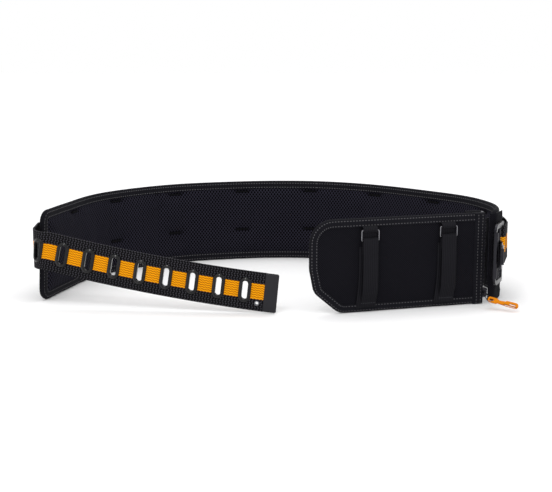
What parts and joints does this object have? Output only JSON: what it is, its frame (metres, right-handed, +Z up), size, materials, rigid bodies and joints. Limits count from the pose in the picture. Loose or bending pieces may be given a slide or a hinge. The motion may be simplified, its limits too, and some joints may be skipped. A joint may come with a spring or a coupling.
{
  "type": "tool belt",
  "caption": "Padded tool belt with a webbing tongue with oval eyelets, a hook buckle and a zipped padded front panel with strap loops, standing open on its edge.",
  "frame": {"origin": "middle of the bounding box's lower face, on the ground the belt stands on", "axes": "+X along the wearer's left to right as seen from the open front, which is the belt's longest extent; +Y from the open front to the back of the waist pad; +Z up"},
  "size_m": [0.6258, 0.3802, 0.1238],
  "materials": {
    "shell_fabric": "ballistic weave",
    "foam": "closed-cell foam",
    "spacer_mesh": "honeycomb spacer mesh",
    "binding_tape": "ribbed tape",
    "belt_webbing": "heavy woven webbing with orange checks",
    "keeper_webbing": "ribbed webbing",
    "eyelet": "glossy black",
    "tip_plastic": "moulded, satin",
    "ring_steel": "bright wire",
    "buckle_steel": "black-nickel steel",
    "zipper_tape": "tape with moulded teeth",
    "pull_plastic": "orange moulding"
  },
  "bodies": {
    "back": {"back_shell": "shell_fabric", "back_foam": "foam", "back_lining": "spacer_mesh", "back_top_binding": "binding_tape", "back_bottom_binding": "binding_tape", "back_webbing": "belt_webbing", "keeper_03": "keeper_webbing", "keeper_04": "keeper_webbing", "keeper_05": "keeper_webbing", "keeper_06": "keeper_webbing", "keeper_07": "keeper_webbing", "keeper_08": "keeper_webbing"},
    "left_wing": {"left_shell": "shell_fabric", "left_foam": "foam", "left_lining": "spacer_mesh", "left_binding": "binding_tape", "left_webbing": "belt_webbing", "keeper_01": "keeper_webbing", "keeper_02": "keeper_webbing"},
    "right_wing": {"right_shell": "shell_fabric", "right_foam": "foam", "right_lining": "spacer_mesh", "right_binding": "binding_tape", "right_webbing": "belt_webbing", "zipper_belt_tape": "zipper_tape", "buckle_fold": "belt_webbing", "keeper_09": "keeper_webbing", "keeper_10": "keeper_webbing"},
    "tongue": {"tongue_webbing": "belt_webbing", "tongue_tip": "tip_plastic", "grommet_1": "eyelet", "grommet_2": "eyelet", "grommet_3": "eyelet", "grommet_4": "eyelet", "grommet_5": "eyelet", "grommet_6": "eyelet", "grommet_7": "eyelet", "grommet_8": "eyelet"},
    "panel": {"panel_binding": "binding_tape", "panel_front": "shell_fabric", "panel_foam": "foam", "panel_back": "shell_fabric", "panel_strap_1": "keeper_webbing", "panel_strap_2": "keeper_webbing", "ring_tab_1": "keeper_webbing", "ring_tab_2": "keeper_webbing", "corner_ring": "ring_steel", "corner_ring_tab": "keeper_webbing", "zipper_panel_tape": "zipper_tape"},
    "ring_1": {"panel_ring_1": "ring_steel"},
    "ring_2": {"panel_ring_2": "ring_steel"},
    "slider": {"zipper_slider": "ring_steel"},
    "link": {"pull_link": "ring_steel"},
    "pull": {"pull_tab": "pull_plastic"},
    "buckle": {"buckle_frame": "buckle_steel", "buckle_pin": "buckle_steel"},
    "roller": {"buckle_roller": "buckle_steel"},
    "hook": {"buckle_hook": "buckle_steel", "hook_rivet": "ring_steel"}
  },
  "joints": [
    {"name": "left_wing_flex", "type": "hinge", "parent": "back", "child": "left_wing", "pos_m": [-0.26518, 0.03155, 0.06], "axis": [0, 0, 1], "range_deg": [-25, 20]},
    {"name": "right_wing_flex", "type": "hinge", "parent": "back", "child": "right_wing", "pos_m": [0.27183, 0.03036, 0.06], "axis": [0, 0, 1], "range_deg": [-20, 25]},
    {"name": "tongue_swing", "type": "hinge", "parent": "left_wing", "child": "tongue", "pos_m": [-0.3093, -0.0917, 0.074], "axis": [0, 0, 1], "range_deg": [-85, 8]},
    {"name": "panel_fold", "type": "hinge", "parent": "right_wing", "child": "panel", "pos_m": [0.2727, -0.1185, 0.06], "axis": [0, 0, 1], "range_deg": [-15, 35]},
    {"name": "ring_1_tilt", "type": "hinge", "parent": "panel", "child": "ring_1", "pos_m": [0.12087, -0.17215, 0.1055], "axis": [-0.9593, -0.2823, 0], "range_deg": [-4, 4]},
    {"name": "ring_2_tilt", "type": "hinge", "parent": "panel", "child": "ring_2", "pos_m": [0.22285, -0.14213, 0.1055], "axis": [-0.9593, -0.2823, 0], "range_deg": [-4, 4]},
    {"name": "slider_slide", "type": "slide", "parent": "right_wing", "child": "slider", "axis": [0, 0, -1], "range_m": [-0.095, 0]},
    {"name": "link_swing", "type": "hinge", "parent": "slider", "child": "link", "pos_m": [0.27417, -0.12349, 0.014], "axis": [-1, 0, 0], "range_deg": [-50, 20]},
    {"name": "pull_swing", "type": "hinge", "parent": "link", "child": "pull", "pos_m": [0.27637, -0.15496, 0.01274], "axis": [0, -0.9992, -0.04], "range_deg": [-40, 40]},
    {"name": "buckle_swing", "type": "hinge", "parent": "right_wing", "child": "buckle", "pos_m": [0.2971, -0.1091, 0.067], "axis": [0, 0, -1], "range_deg": [-60, 5]},
    {"name": "roller_spin", "type": "hinge", "parent": "buckle", "child": "roller", "pos_m": [0.2828, -0.1422, 0.067], "axis": [0, 0, 1], "continuous": true},
    {"name": "hook_swing", "type": "hinge", "parent": "buckle", "child": "hook", "pos_m": [0.28995, -0.12565, 0.067], "axis": [0, 0, -1], "range_deg": [-70, 0]}
  ]
}
